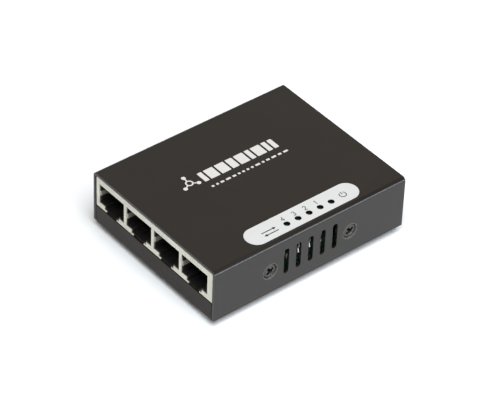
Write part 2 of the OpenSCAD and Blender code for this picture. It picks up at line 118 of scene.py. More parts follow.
def new_material(name):
    """A material with an empty tree, its output and one principled shader."""
    material = bpy.data.materials.new(name)
    material.use_nodes = True
    tree = material.node_tree
    tree.nodes.clear()
    output = node(tree, "ShaderNodeOutputMaterial")
    shader = node(tree, "ShaderNodeBsdfPrincipled")
    tree.links.new(shader.outputs["BSDF"], output.inputs["Surface"])
    return material, tree, shader


def position(tree):
    """The point that is shaded, in the frame's own metres."""
    return node(tree, "ShaderNodeTexCoord").outputs["Object"]


def noise(tree, where, size_mm, detail=2.0, roughness=0.5):
    """Noise whose blotches are about size_mm across."""
    made = node(tree, "ShaderNodeTexNoise", {
        "Vector": where, "Scale": 1.0 / (size_mm * MM), "Detail": detail, "Roughness": roughness,
    })
    return made.outputs["Fac"]


def span(tree, value, low, high, start=0.0, end=1.0):
    """Maps start..end to low..high and clamps."""
    made = node(tree, "ShaderNodeMapRange", {
        "Value": value, "From Min": start, "From Max": end, "To Min": low, "To Max": high,
    })
    return made.outputs["Result"]


def mix(tree, factor, a, b):
    """Mixes two colours; a and b are sockets or (r, g, b)."""
    made = node(tree, "ShaderNodeMix", data_type="RGBA", blend_type="MIX")
    for index, value in ((0, factor), (6, a), (7, b)):
        socket = made.inputs[index]
        if isinstance(value, bpy.types.NodeSocket):
            tree.links.new(value, socket)
        elif index == 0:
            socket.default_value = value
        else:
            socket.default_value = (*value, 1.0)
    return made.outputs[2]


def bump(tree, height, depth_mm, normal=None):
    """Relief of depth_mm, over another relief if one is given."""
    inputs = {"Height": height, "Distance": depth_mm * MM, "Strength": 1.0}
    if normal is not None:
        inputs["Normal"] = normal
    return node(tree, "ShaderNodeBump", inputs).outputs["Normal"]


def edge_mask(tree, radius_mm, start, end):
    """1 where the surface turns sharply, 0 on flat faces."""
    rounded = node(tree, "ShaderNodeBevel", {"Radius": radius_mm * MM}, samples=6).outputs["Normal"]
    flat = node(tree, "ShaderNodeNewGeometry").outputs["Normal"]
    dot = node(tree, "ShaderNodeVectorMath", operation="DOT_PRODUCT")
    tree.links.new(rounded, dot.inputs[0])
    tree.links.new(flat, dot.inputs[1])
    return span(tree, dot.outputs["Value"], 0.0, 1.0, end, start)


def calc(tree, operation, a, b=0.0):
    """One step of arithmetic on sockets or numbers."""
    made = node(tree, "ShaderNodeMath", operation=operation)
    for index, value in enumerate((a, b)):
        if isinstance(value, bpy.types.NodeSocket):
            tree.links.new(value, made.inputs[index])
        else:
            made.inputs[index].default_value = value
    return made.outputs[0]


def screw_ring_mask(tree, where):
    """1 in a narrow, broken ring round each side screw, where the paint is made lighter: partly paint chipped
    by a driver, partly a painted highlight on the lip of the sink.
    """
    axes = node(tree, "ShaderNodeSeparateXYZ", {"Vector": where})
    along = calc(tree, "SUBTRACT", axes.outputs["Y"], SIDE_MID * MM)
    from_screw = calc(tree, "SUBTRACT", calc(tree, "ABSOLUTE", along), SCREW_REACH * MM)
    up = calc(tree, "SUBTRACT", axes.outputs["Z"], SCREW_Z * MM)
    along_squared = calc(tree, "MULTIPLY", from_screw, from_screw)
    up_squared = calc(tree, "MULTIPLY", up, up)
    radius = calc(tree, "SQRT", calc(tree, "ADD", along_squared, up_squared))
    edge = SINK_R * MM
    inside = span(tree, radius, 0.0, 1.0, edge - 0.14 * MM, edge - 0.04 * MM)
    outside = span(tree, radius, 1.0, 0.0, edge + 0.08 * MM, edge + 0.24 * MM)
    ring_breakup = span(tree, noise(tree, where, 0.45, 3), 0.25, 1.0, 0.35, 0.62)
    return calc(tree, "MULTIPLY", calc(tree, "MULTIPLY", inside, outside), ring_breakup)


def shade(colour):
    """A slightly darker and a slightly lighter version of a colour."""
    return tuple(c * 0.92 for c in colour), tuple(min(1.0, c * 1.08) for c in colour)


def surface(tree, shader, tone, roughness, normal):
    """Links a colour, a roughness and a relief to the shader."""
    tree.links.new(tone, shader.inputs["Base Color"])
    tree.links.new(roughness, shader.inputs["Roughness"])
    tree.links.new(normal, shader.inputs["Normal"])


def powder_coat(name, colour, edge_tone, roughness, wear, specular, rim_chips_and_highlight=None):
    """Satin powder coat: fine grain, shallow orange peel, paint a little thin on the edges."""
    material, tree, shader = new_material(name)
    where = position(tree)
    dark, light = shade(colour)
    cloud = mix(tree, span(tree, noise(tree, where, 22, 3), 0.0, 1.0, 0.3, 0.7), dark, light)
    speck = span(tree, noise(tree, where, 0.16, 1), 0.0, 0.16, 0.50, 0.80)
    tone = mix(tree, speck, cloud, tuple(min(1.0, c * 1.5) for c in colour))
    patchy = span(tree, noise(tree, where, 1.3, 3), 0.25, 1.0, 0.35, 0.6)
    edge = calc(tree, "MULTIPLY", edge_mask(tree, 0.22, 0.75, 0.985), patchy)
    tone = mix(tree, calc(tree, "MULTIPLY", edge, wear), tone, edge_tone)
    # Lighter ring round the screws: chipped paint and a painted highlight on the lip of each sink.
    if rim_chips_and_highlight:
        tone = mix(tree, screw_ring_mask(tree, where), tone, rim_chips_and_highlight)
    smudge = span(tree, noise(tree, where, 16, 4, 0.55), roughness - 0.03, roughness + 0.03, 0.3, 0.7)
    peel = bump(tree, noise(tree, where, 2.4, 1), 0.0025)
    grain = bump(tree, noise(tree, where, 0.22, 2), 0.004, peel)
    surface(tree, shader, tone, smudge, grain)
    shader.inputs["Specular IOR Level"].default_value = specular
    return material


def moulded(name, colour, roughness=0.45, grain_mm=0.35, depth_mm=0.008, specular=0.5, corner_shade=0.25,
            reach_mm=1.2, edge_tone=None, shade_behind_y=None):
    """Moulded plastic or epoxy: spark-eroded grain, faint flow marks, painted shade in the corners, and
    lighter edges that are partly rubbing, partly a painted highlight.

    Behind the plane of y given by the last argument, the colour is painted much darker: painted shade deep
    inside the sockets.
    """
    material, tree, shader = new_material(name)
    where = position(tree)
    dark, light = shade(colour)
    stretched = node(tree, "ShaderNodeMapping", {"Vector": where, "Scale": (0.4, 1.0, 1.0)}).outputs["Vector"]
    flow = mix(tree, span(tree, noise(tree, stretched, 5, 3), 0.0, 1.0, 0.3, 0.7), dark, light)
    # Painted shade: the colour darkens where ambient occlusion finds corners and recesses.
    corner = node(tree, "ShaderNodeAmbientOcclusion", {"Distance": reach_mm * MM}, samples=6).outputs["AO"]
    painted_corner_shade = span(tree, corner, corner_shade, 0.0, 0.3, 0.85)
    tone = mix(tree, painted_corner_shade, flow, tuple(c * 0.22 for c in colour))
    # Lighter edges: partly rubbing, partly a painted highlight along them.
    rubbed_and_highlit = span(tree, edge_mask(tree, 0.12, 0.75, 0.98), 0.0, 0.6)
    tone = mix(tree, rubbed_and_highlit, tone, edge_tone or tuple(min(1.0, c * 1.25 + 0.01) for c in colour))
    # Painted shade: the colour darkens behind a plane of y, for the shade deep in the sockets.
    if shade_behind_y is not None:
        depth = node(tree, "ShaderNodeSeparateXYZ", {"Vector": where}).outputs["Y"]
        painted_depth_shade = span(tree, depth, 0.0, 0.75, shade_behind_y * MM, (shade_behind_y + 0.6) * MM)
        tone = mix(tree, painted_depth_shade, tone, tuple(c * 0.05 for c in colour))
    sheen = span(tree, noise(tree, where, 3, 4), roughness - 0.06, roughness + 0.08, 0.3, 0.7)
    surface(tree, shader, tone, sheen, bump(tree, noise(tree, where, grain_mm, 3), depth_mm))
    shader.inputs["Specular IOR Level"].default_value = specular
    return material


def plated(name, colour, roughness=0.28, brushed=(1.0, 1.0, 1.0), tarnish=0.35, hollow_shade=0.3, reach_mm=0.8,
           edge_tone=None, metallic=1.0):
    """Plated metal: scratches along one direction, dull cloudy patches, painted shade in the hollows, and
    lighter edges that are partly rubbing, partly a painted highlight.
    """
    material, tree, shader = new_material(name)
    where = position(tree)
    cloud = span(tree, noise(tree, where, 1.6, 5, 0.6), 0.0, tarnish, 0.4, 0.75)
    tone = mix(tree, cloud, colour, tuple(c * 0.55 for c in colour))
    hollow = node(tree, "ShaderNodeAmbientOcclusion", {"Distance": reach_mm * MM}, samples=6).outputs["AO"]
    # Lighter edges: partly rubbing, partly a painted highlight along them.
    rubbed_and_highlit = span(tree, edge_mask(tree, 0.12, 0.75, 0.98), 0.0, 0.7)
    tone = mix(tree, rubbed_and_highlit, tone, edge_tone or tuple(min(1.0, c * 1.2) for c in colour))
    # Painted shade: the colour darkens in hollows that ambient occlusion finds, such as a screw's cross.
    tone = mix(tree, span(tree, hollow, hollow_shade, 0.0, 0.45, 0.93), tone, tuple(c * 0.08 for c in colour))
    lines = node(tree, "ShaderNodeMapping", {"Vector": where, "Scale": brushed}).outputs["Vector"]
    scratch = noise(tree, lines, 0.12, 2)
    sheen = span(tree, scratch, roughness - 0.08, roughness + 0.14, 0.3, 0.7)
    surface(tree, shader, tone, sheen, bump(tree, scratch, 0.003))
    shader.inputs["Metallic"].default_value = metallic
    return material


def vinyl(name, colour, roughness=0.38):
    """Printed vinyl: nearly flat, with a faint lay-on texture and soft shade variation."""
    material, tree, shader = new_material(name)
    where = position(tree)
    tone = mix(tree, span(tree, noise(tree, where, 4, 4), 0.0, 1.0, 0.3, 0.7),
               tuple(c * 0.97 for c in colour), colour)
    sheen = span(tree, noise(tree, where, 2, 3), roughness - 0.05, roughness + 0.06)
    surface(tree, shader, tone, sheen, bump(tree, noise(tree, where, 0.6, 2), 0.004))
    return material


def solder_mask(name, colour):
    """Green solder resist over laminate: the copper tracks under it stand a little proud and lighter."""
    material, tree, shader = new_material(name)
    where = position(tree)
    cells = node(tree, "ShaderNodeTexVoronoi", {"Vector": where, "Scale": 1.0 / (1.7 * MM)},
                 distance="CHEBYCHEV", feature="F1").outputs["Distance"]
    tracks = span(tree, cells, 0.0, 1.0, 0.30, 0.36)
    bands = node(tree, "ShaderNodeTexWave", {"Vector": where, "Scale": 1.0 / (3.2 * MM), "Distortion": 1.5},
                 bands_direction="DIAGONAL").outputs["Fac"]
    copper = calc(tree, "MULTIPLY", tracks, span(tree, bands, 0.0, 1.0, 0.45, 0.55))
    dark, light = shade(colour)
    tone = mix(tree, copper, dark, tuple(min(1.0, c * 1.7) for c in light))
    surface(tree, shader, tone, span(tree, noise(tree, where, 3, 3), 0.22, 0.34), bump(tree, copper, 0.03))
    return material


def lens(name, colour):
    """Tinted clear epoxy, slightly cloudy inside."""
    material, tree, shader = new_material(name)
    where = position(tree)
    tone = mix(tree, noise(tree, where, 1.2, 3), tuple(c * 0.8 for c in colour), colour)
    sheen = span(tree, noise(tree, where, 0.8, 2), 0.06, 0.14)
    surface(tree, shader, tone, sheen, bump(tree, noise(tree, where, 1.5, 2), 0.004))
    shader.inputs["Transmission Weight"].default_value = 0.35
    shader.inputs["IOR"].default_value = 1.54
    return material


def floor_paper(name):
    """Matt white paper with a faint cloudiness."""
    material, tree, shader = new_material(name)
    where = position(tree)
    tone = mix(tree, noise(tree, where, 60, 3), (0.90, 0.935, 0.965), (0.92, 0.955, 0.985))
    sheen = span(tree, noise(tree, where, 8, 3), 0.7, 0.8)
    surface(tree, shader, tone, sheen, bump(tree, noise(tree, where, 0.8, 3), 0.01))
    return material


MATERIAL = {
    "cover_paint": powder_coat("cover_paint", (0.0095, 0.0078, 0.0068), edge_tone=(0.075, 0.066, 0.060),
                               roughness=0.30, wear=0.15, specular=0.39, rim_chips_and_highlight=(0.13, 0.125, 0.115)),
    "base_paint": powder_coat("base_paint", (0.0190, 0.0138, 0.0100), edge_tone=(0.085, 0.075, 0.068),
                              roughness=0.42, wear=0.3, specular=0.16),
    # Dark screws: the light edge colour is partly a painted highlight on the rim of each head, and the cross
    # gets full painted shade.
    "screw_steel": plated("screw_steel", (0.095, 0.092, 0.085), 0.34, (1.0, 0.25, 1.0), hollow_shade=1.0,
                          reach_mm=2.0, edge_tone=(0.62, 0.60, 0.54)),
    "label_vinyl": vinyl("label_vinyl", (0.60, 0.615, 0.62)),
    "rating_film": vinyl("rating_film", (0.55, 0.56, 0.57), 0.30),
    "foot_rubber": moulded("foot_rubber", (0.022, 0.022, 0.022), 0.8, 0.3, 0.02, specular=0.3),
    "standoff_brass": plated("standoff_brass", (0.72, 0.55, 0.27), 0.25),
    "insulator_film": vinyl("insulator_film", (0.62, 0.63, 0.60), 0.35),
    # The board's green is kept very dark: partly the solder resist's own colour, partly painted shade for the
    # inside of the box.
    "board_laminate": solder_mask("board_laminate", (0.010, 0.050, 0.022)),
    # Ivory housing: strong painted shade in its corners and behind the socket face.
    "housing_plastic": moulded("housing_plastic", (0.67, 0.655, 0.565), 0.42, 0.4, 0.004, corner_shade=0.65,
                               reach_mm=4.0, shade_behind_y=SOCKET_FACE + 0.1),
    # Black carriers: the light edge colour is partly rubbing, partly a painted highlight along their edges.
    "carrier_plastic": moulded("carrier_plastic", (0.011, 0.011, 0.011), 0.32, 0.3, 0.006,
                               edge_tone=(0.10, 0.10, 0.09)),
    "contact_gold": plated("contact_gold", (0.90, 0.64, 0.25), 0.34, tarnish=0.15, hollow_shade=0.1,
                           metallic=0.65),
    "led_epoxy": lens("led_epoxy", (0.035, 0.055, 0.040)),
    "tinned_metal": plated("tinned_metal", (0.86, 0.85, 0.82), 0.32, tarnish=0.2, hollow_shade=0.15),
    "bright_tin": plated("bright_tin", (0.92, 0.91, 0.88), 0.24, tarnish=0.1, hollow_shade=0.05),
    "inlet_plastic": moulded("inlet_plastic", (0.014, 0.014, 0.015), 0.4),
    "chip_epoxy": moulded("chip_epoxy", (0.018, 0.018, 0.020), 0.6, 0.15, 0.01),
    "crystal_can": plated("crystal_can", (0.62, 0.61, 0.58), 0.25),
    "ferrite": moulded("ferrite", (0.06, 0.06, 0.062), 0.7, 0.12, 0.02),
    "capacitor_sleeve": moulded("capacitor_sleeve", (0.02, 0.03, 0.08), 0.25),
    "resistor_body": moulded("resistor_body", (0.02, 0.02, 0.024), 0.3),
    "capacitor_ceramic": moulded("capacitor_ceramic", (0.40, 0.27, 0.15), 0.5),
    "print_white": vinyl("print_white", (0.63, 0.63, 0.62), 0.5),
    "print_black": vinyl("print_black", (0.03, 0.03, 0.03), 0.5),
}


# ---------------------------------------------------------------- mesh building


def arc(cx, cy, r, start, end, steps):
    """Points on an arc, angles in degrees."""
    return [
        (cx + r * math.cos(math.radians(start + (end - start) * i / steps)),
         cy + r * math.sin(math.radians(start + (end - start) * i / steps)))
        for i in range(steps + 1)
    ]


def stadium(cx, cy, w, length, steps=20):
    """Outline of a slot with round ends, long in its second direction."""
    reach = (length - w) / 2
    return arc(cx, cy + reach, w / 2, 0, 180, steps) + arc(cx, cy - reach, w / 2, 180, 360, steps)


def ring(cx, cy, r, steps=48):
    """Points round a whole circle."""
    return arc(cx, cy, r, 0, 360, steps)[:-1]


def rect(x0, y0, x1, y1):
    """Outline of a rectangle between two opposite corners."""
    return [(x0, y0), (x1, y0), (x1, y1), (x0, y1)]


def as_object(bm, name="solid"):
    """Turns a bmesh into an object of the scene."""
    mesh = bpy.data.meshes.new(name)
    bm.to_mesh(mesh)
    bm.free()
    made = bpy.data.objects.new(name, mesh)
    bpy.context.scene.collection.objects.link(made)
    return made


def prism(outline, axis, start, end):
    """Extrudes an outline along X (drawn in y, z), Y (in x, z) or Z (in x, y)."""
    places = {
        "X": lambda a, b, t: (t, a, b),
        "Y": lambda a, b, t: (a, t, b),
        "Z": lambda a, b, t: (a, b, t),
    }
    place = places[axis]
    bm = bmesh.new()
    near = [bm.verts.new(place(a, b, start)) for a, b in outline]
    far = [bm.verts.new(place(a, b, end)) for a, b in outline]
    bm.faces.new(near)
    bm.faces.new(far[::-1])
    count = len(outline)
    for i in range(count):
        bm.faces.new((near[i], far[i], far[(i + 1) % count], near[(i + 1) % count]))
    bmesh.ops.recalc_face_normals(bm, faces=bm.faces)
    return as_object(bm)


def lathe(profile, steps=48):
    """Turns a closed outline of (radius, height) about Z."""
    bm = bmesh.new()
    rows = []
    for i in range(steps):
        angle = 2 * math.pi * i / steps
        rows.append([
            bm.verts.new((r * math.cos(angle), r * math.sin(angle), z)) if r > 1e-6 else None
            for r, z in profile
        ])
    poles = {j: bm.verts.new((0, 0, z)) for j, (r, z) in enumerate(profile) if r <= 1e-6}
    count = len(profile)
    for i in range(steps):
        for j in range(count):
            k = (j + 1) % count
            corners = [rows[i][j] or poles[j], rows[(i + 1) % steps][j] or poles[j],
                       rows[(i + 1) % steps][k] or poles[k], rows[i][k] or poles[k]]
            unique = [v for n, v in enumerate(corners) if v not in corners[:n]]
            if len(unique) > 2:
                bm.faces.new(unique)
    bmesh.ops.recalc_face_normals(bm, faces=bm.faces)
    return as_object(bm)


def moved(solid, matrix):
    """Moves the mesh itself, so that the object stays at the origin."""
    solid.data.transform(matrix)
    solid.data.update()
    return solid


def combine(solid, others, how):
    """Boolean of a solid with a list of others, which are used up."""
    for other in others:
        change = solid.modifiers.new("boolean", "BOOLEAN")
        change.operation = how
        change.solver = "EXACT"
        change.object = other
    graph = bpy.context.evaluated_depsgraph_get()
    mesh = bpy.data.meshes.new_from_object(solid.evaluated_get(graph))
    solid.modifiers.clear()
    solid.data = mesh
    for other in others:
        bpy.data.objects.remove(other)
    return solid


def carve(solid, others):
    """Cuts the others out of a solid."""
    return combine(solid, others, "DIFFERENCE")


def fuse(solid, others):
    """Joins the others to a solid."""
    return combine(solid, others, "UNION")


def merge(solids):
    """One object that holds several separate solids."""
    bm = bmesh.new()
    for solid in solids:
        bm.from_mesh(solid.data)
        bpy.data.objects.remove(solid)
    return as_object(bm)


def clean(solid):
    """Joins coplanar faces and drops doubled points, so that bevels run evenly."""
    bm = bmesh.new()
    bm.from_mesh(solid.data)
    bmesh.ops.remove_doubles(bm, verts=bm.verts, dist=1e-4)
    bmesh.ops.dissolve_limit(bm, angle_limit=math.radians(0.3), verts=bm.verts, edges=bm.edges)
    bm.to_mesh(solid.data)
    bm.free()
    return solid


def soften(target, width):
    """Rounds the sharp edges by width, with faces that stay flat."""
    rounding = target.modifiers.new("edge_rounding", "BEVEL")
    rounding.width = width
    rounding.segments = 2
    rounding.limit_method = "ANGLE"
    rounding.angle_limit = math.radians(30)
    rounding.use_clamp_overlap = True
    rounding.harden_normals = False
    weighting = target.modifiers.new("flat_faces", "WEIGHTED_NORMAL")
    weighting.keep_sharp = False
    weighting.weight = 100


def level_faces(mesh):
    """Makes the flat faces that lie square to an axis shade dead flat, whatever rounding meets them."""
    square_on = 0.99999
    normals = [corner.vector.copy() for corner in mesh.corner_normals]
    for polygon in mesh.polygons:
        if max(abs(part) for part in polygon.normal) > square_on:
            for index in polygon.loop_indices:
                normals[index] = polygon.normal.copy()
    mesh.normals_split_custom_set(normals)


def smooth(target):
    """Marks every face for smooth shading."""
    for polygon in target.data.polygons:
        polygon.use_smooth = True


def finish_piece(solid, name, slot, replaces=(), rounding=0.0, paint=None):
    """Scales a solid to metres, rounds its edges, and gives it its name and finish; it hangs it on the box's
    body and hides the CAD nodes it replaces.
    """
    solid.name = name
    solid.data.name = name
    moved(solid, Matrix.Scale(MM, 4))
    if rounding:
        smooth(solid)
    solid.data.materials.clear()
    solid.data.materials.append(MATERIAL[paint or slot])
    if rounding:
        soften(solid, rounding * MM)
        graph = bpy.context.evaluated_depsgraph_get()
        solid.data = bpy.data.meshes.new_from_object(solid.evaluated_get(graph))
        solid.modifiers.clear()
        level_faces(solid.data)
    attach(solid, BODY)
    if replaces:
        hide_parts(*replaces)
    return solid


# ---------------------------------------------------------------- enclosure


def side_sinks():
    """Cutters for the four countersunk screw holes."""
    profile = [(0, 0.05), (SINK_R, 0.05), (SINK_R, -0.45), (1.5, -1.60), (1.5, -6), (0, -6)]
    cutters = []
    for side in (-1, 1):
        for y in SCREW_Y:
            place = Matrix.Translation((side * HALF_W, y, SCREW_Z))
            turn = Matrix.Rotation(side * math.pi / 2, 4, "Y")
            cutters.append(moved(lathe(profile), place @ turn))
    return cutters


def make_cover():
    """Folded steel cover with its slots, light holes and screw sinks."""
    outer = [(-HALF_W, SKIRT)]
    outer += arc(-HALF_W + FOLD_R, TOP - FOLD_R, FOLD_R, 180, 90, 14)
    outer += arc(HALF_W - FOLD_R, TOP - FOLD_R, FOLD_R, 90, 0, 14)
    outer += [(HALF_W, SKIRT), (INNER_X, SKIRT)]
    inner_r = FOLD_R - SHEET
    outer += arc(HALF_W - FOLD_R, TOP - FOLD_R, inner_r, 0, 90, 8)
    outer += arc(-HALF_W + FOLD_R, TOP - FOLD_R, inner_r, 90, 180, 8)
    outer += [(-INNER_X, SKIRT)]
    sheet = prism(outer, "Y", FRONT, REAR)
    cutters = [prism(stadium(y, VENT_Z, VENT_W, VENT_LEN), "X", s * (INNER_X - 2), s * (HALF_W + 2))
               for y in VENT_Y for s in (-1, 1)]
    cutters += [prism(ring(LED_X, y, WINDOW_R + 0.05), "Z", TOP - 3, TOP + 1) for y in LED_Y]
    cutters += side_sinks()
    carve(sheet, cutters)
    finish_piece(clean(sheet), "folded_cover", "cover_paint", replaces=["top_cover"], rounding=0.12)


def cross_recess(reach, w, depth):
    """Tapered cross cutter that points down from z = 0."""
    arms = []
    for turn in (0, 90):
        bm = bmesh.new()
        top = [(-reach / 2, -w / 2), (reach / 2, -w / 2), (reach / 2, w / 2), (-reach / 2, w / 2)]
        rows = []
        for z, along, across in ((0.2, 1.06, 1.1), (-depth, 0.52, 0.62)):
            rows.append([bm.verts.new((x * along, y * across, z)) for x, y in top])
        bm.faces.new(rows[0])
        bm.faces.new(rows[1][::-1])
        for i in range(4):
            bm.faces.new((rows[0][i], rows[1][i], rows[1][(i + 1) % 4], rows[0][(i + 1) % 4]))
        bmesh.ops.recalc_face_normals(bm, faces=bm.faces)
        arms.append(moved(as_object(bm), Matrix.Rotation(math.radians(turn), 4, "Z")))
    return fuse(arms[0], arms[1:])


def thread_profile(core, crest, pitch, bottom, top):
    """Stepped outline of a threaded shank, from its lower end up."""
    points = []
    z = bottom
    while z < top - pitch:
        points += [(core, z), (crest, z + pitch * 0.45), (crest, z + pitch * 0.55)]
        z += pitch
    return points + [(core, top)]


def side_screw():
    """Countersunk cross-head machine screw whose head faces +Z, its top at z = 0."""
    r = SCREW_HEAD_R
    shank = thread_profile(1.22, 1.44, 0.5, -4.3, -1.6)
    rise = 0.30
    crown = [(r * t, -0.02 - rise * t * t) for t in (0.97, 0.85, 0.7, 0.55, 0.4, 0.2, 0.0)]
    cone = [(1.45, -1.50), (r - 0.02, -0.42), (r, -0.38), (r, -0.33)]
    outline = [(0, -4.4), (1.0, -4.4)] + shank + cone + crown
    return carve(lathe(outline, 56), [cross_recess(3.2, 1.0, 1.8)])


def make_cover_screws():
    """The four side screws, each stopped at its own angle."""
    spins = iter((62, 14, 35, 31))
    screws = []
    for side in (-1, 1):
        for y in SCREW_Y:
            spin = Matrix.Rotation(math.radians(next(spins)), 4, "Z")
            turn = Matrix.Rotation(side * math.pi / 2, 4, "Y")
            place = Matrix.Translation((side * (HALF_W - 0.1), y, SCREW_Z))
            screws.append(moved(side_screw(), place @ turn @ spin))
    finish_piece(clean(merge(screws)), "cover_screw_set", "screw_steel", replaces=["cover_screws"],
                 rounding=0.05)


def make_led_solder():
    """Solder cones where the ten leads of the lights meet the board, above and below it."""
    height = 1.45
    foot = [(0, 0.0), (0.60, 0.0), (0.60, 0.05), (0.55, 0.16)]
    profile = foot + [(0.31, height - 0.08), (0.26, height), (0, height)]
    joints = []
    for y in LED_Y:
        for side in (-1, 1):
            for z, flip in ((board_high.z, 0), (board_low.z, math.pi)):
                place = Matrix.Translation((LED_X + side * LEG_GAP / 2, y, z))
                joints.append(moved(lathe(profile, 24), place @ Matrix.Rotation(flip, 4, "X")))
    finish_piece(merge(joints), "led_solder_joints", "tinned_metal", rounding=0.02)


def bent_wire(points, r, steps=12):
    """Round wire that runs upwards through (x, y, z) points."""
    bm = bmesh.new()
    rows = [[bm.verts.new((x + a, y + b, z)) for a, b in ring(0, 0, r, steps)] for x, y, z in points]
    for low, high in zip(rows, rows[1:]):
        for i in range(steps):
            j = (i + 1) % steps
            bm.faces.new((low[i], low[j], high[j], high[i]))
    bm.faces.new(rows[0][::-1])
    bm.faces.new(rows[-1])
    bmesh.ops.recalc_face_normals(bm, faces=bm.faces)
    return as_object(bm)


def make_led_legs():
    """Round legs of the five lights, each with the kinks that hold its light up off the board."""
    low, high = box_mm("led_leads")
    straight_foot = [(0.0, 0.0), (0.40, 0.0)]
    out_and_back = [(0.46, 0.38), (0.58, 0.38), (0.66, -0.30), (0.76, -0.30)]
    kinks = straight_foot + out_and_back + [(0.84, 0.0), (1.0, 0.0)]
    legs = []
    for y in LED_Y:
        for side in (-1, 1):
            x = LED_X + side * LEG_GAP / 2
            path = [(x, y + side * shift, low.z + (high.z - low.z) * t) for t, shift in kinks]
            legs.append(bent_wire(path, 0.24))
    finish_piece(merge(legs), "led_legs", "tinned_metal", replaces=["led_leads"], rounding=0.02,
                 paint="bright_tin")


def make_label():
    """White film with round ends and five light holes."""
    cx = (label_low.x + label_high.x) / 2
    cy = (label_low.y + label_high.y) / 2
    w = label_high.x - label_low.x
    length = label_high.y - label_low.y
    film = prism(stadium(cx, cy, w, length, 40), "Z", label_low.z + 0.002, LABEL_TOP)
    carve(film, [prism(ring(LED_X, y, WINDOW_R), "Z", label_low.z - 1, label_high.z + 1) for y in LED_Y])
    finish_piece(clean(film), "indicator_label", "label_vinyl", replaces=["led_label"], rounding=0.05)


# ---------------------------------------------------------------- prints

# Each turns a flat (u, v) drawing, raised along w, onto one face of the box.
ON_TOP = Matrix(((0, -1, 0), (1, 0, 0), (0, 0, 1))).to_4x4()
ON_REAR = Matrix(((-1, 0, 0), (0, 0, 1), (0, 1, 0))).to_4x4()
UNDERNEATH = Matrix(((1, 0, 0), (0, -1, 0), (0, 0, -1))).to_4x4()


def stroke(points, width, thickness=INK, closed=False):
    """Flat ribbon of even width along a line of (u, v) points, with mitred corners."""
    bm = bmesh.new()
    count = len(points)
    runs = [Vector(points[(i + 1) % count]) - Vector(points[i]) for i in range(count)]
    rows = []
    for i, (u, v) in enumerate(points):
        one = runs[i - 1] if i or closed else runs[0]
        two = runs[i] if i < count - 1 or closed else runs[i - 1]
        one, two = one.normalized(), two.normalized()
        along = (one + two).normalized()
        side = Vector((-along.y, along.x)) * (width / 2) / max(0.5, along.dot(one))
        rows.append([bm.verts.new((u + s * side.x, v + s * side.y, w))
                     for s, w in ((1, 0), (-1, 0), (-1, thickness), (1, thickness))])
    for i in range(count if closed else count - 1):
        one, two = rows[i], rows[(i + 1) % count]
        for j in range(4):
            bm.faces.new((one[j], one[(j + 1) % 4], two[(j + 1) % 4], two[j]))
    if not closed:
        bm.faces.new(rows[0][::-1])
        bm.faces.new(rows[-1])
    bmesh.ops.recalc_face_normals(bm, faces=bm.faces)
    return as_object(bm)


def patch(outline, thickness=INK):
    """Flat filled shape."""
    return prism(outline, "Z", 0, thickness)


def rounded_rect(u0, v0, u1, v1, r, steps=6):
    return (arc(u1 - r, v1 - r, r, 0, 90, steps) + arc(u0 + r, v1 - r, r, 90, 180, steps)
            + arc(u0 + r, v0 + r, r, 180, 270, steps) + arc(u1 - r, v0 + r, r, 270, 360, steps))


def digit(number, height):
    """One of the digits 1 to 4 in plain strokes, centred on the origin."""
    h = height / 2
    w = height * 0.28
    bowl = height * 0.27
    lines = {
        1: [[(-w * 0.7, h * 0.62), (0.05, h), (0.05, -h)]],
        2: [arc(0, h - bowl, bowl, 165, -38, 12) + [(-w, -h + 0.02), (w * 1.05, -h + 0.02)]],
        3: [arc(0, h * 0.5, bowl * 0.92, 160, -80, 12), arc(0, -h * 0.46, bowl, 80, -160, 12)],
        4: [[(w * 0.4, -h), (w * 0.4, h), (-w * 1.15, -h * 0.35), (w * 1.15, -h * 0.35)]],
    }[number]
    return merge([stroke(line, height * 0.15) for line in lines])


def power_symbol(r):
    """Open ring with a bar through its gap."""
    ring_open = stroke(arc(0, 0, r, 125, 415, 28), r * 0.26)
    return merge([ring_open, stroke([(0, r * 0.15), (0, r * 1.25)], r * 0.26)])


def traffic_symbol(length, gap):
    """Two opposed arrows, for link and activity."""
    w = gap * 0.25
    arrows = []
    for s in (1, -1):
        v = s * gap / 2
        arrows.append(stroke([(-s * length / 2, v), (s * (length / 2 - 0.9), v)], w))
        point, barbs = s * length / 2, s * (length / 2 - 1.2)
        arrows.append(patch([(point, v), (barbs, v + s * 0.6), (barbs, v - s * 0.6)]))
    return merge(arrows)


def network_mark(size):
    """Plain network sign: three discs joined to a ring."""
    hub = stroke(ring(0, 0, size * 0.17, 32), size * 0.075, closed=True)
    parts = [hub]
    for angle in (90, 210, 330):
        u, v = size * math.cos(math.radians(angle)), size * math.sin(math.radians(angle))
        parts.append(stroke([(u * 0.21, v * 0.21), (u * 0.34, v * 0.34)], size * 0.07))
        parts.append(patch(ring(u * 0.46, v * 0.46, size * 0.115, 28)))
    return merge(parts)


def printed(solids, frame_matrix, origin, name, slot, paint):
    """Places a group of flat prints, drawn in (u, v), on a face."""
    solid = moved(merge(solids), Matrix.Translation(origin) @ frame_matrix)
    return finish_piece(solid, name, slot, paint=paint)


def at(solid, u, v):
    """Shifts a flat drawing."""
    return moved(solid, Matrix.Translation((u, v, 0)))


def bars(rng, start, last_start, heights, widths, gap, corner_r, end=math.inf):
    """Row of plain bars of random widths, from start on; none begins past last_start or reaches past end."""
    row = []
    u = start
    while u < last_start:
        width = min(rng.choice(widths), end - u)
        row.append(patch(rounded_rect(u, heights[0], u + width, heights[1], corner_r)))
        u += width + gap
    return row


